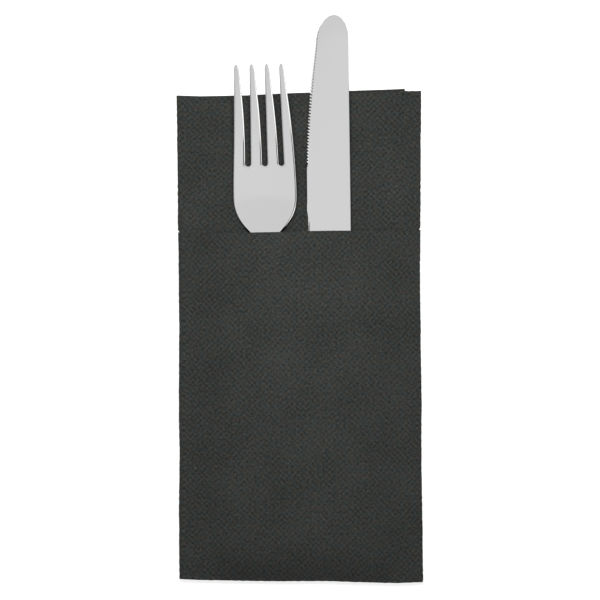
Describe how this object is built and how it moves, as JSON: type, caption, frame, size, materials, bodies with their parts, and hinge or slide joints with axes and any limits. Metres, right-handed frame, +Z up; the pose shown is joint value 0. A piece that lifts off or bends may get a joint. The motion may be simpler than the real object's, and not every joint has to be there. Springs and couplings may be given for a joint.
{
  "type": "cutlery pouch napkin",
  "caption": "Folded charcoal paper napkin with a pocket that holds a steel fork and a serrated table knife.",
  "frame": {"origin": "middle of the pouch's back face, on the surface that it lies on", "axes": "+Y from the pouch's bottom fold towards its mouth and the tips of the cutlery, +Z up out of the front of the pouch, +X to the right seen from the front"},
  "size_m": [0.1006, 0.2326, 0.0225],
  "materials": {
    "airlaid_paper": "matt, fine embossed grain",
    "polished_steel": "polished stainless steel"
  },
  "bodies": {
    "root": {"napkin": "airlaid_paper", "fork": "polished_steel", "knife": "polished_steel"}
  },
  "joints": []
}
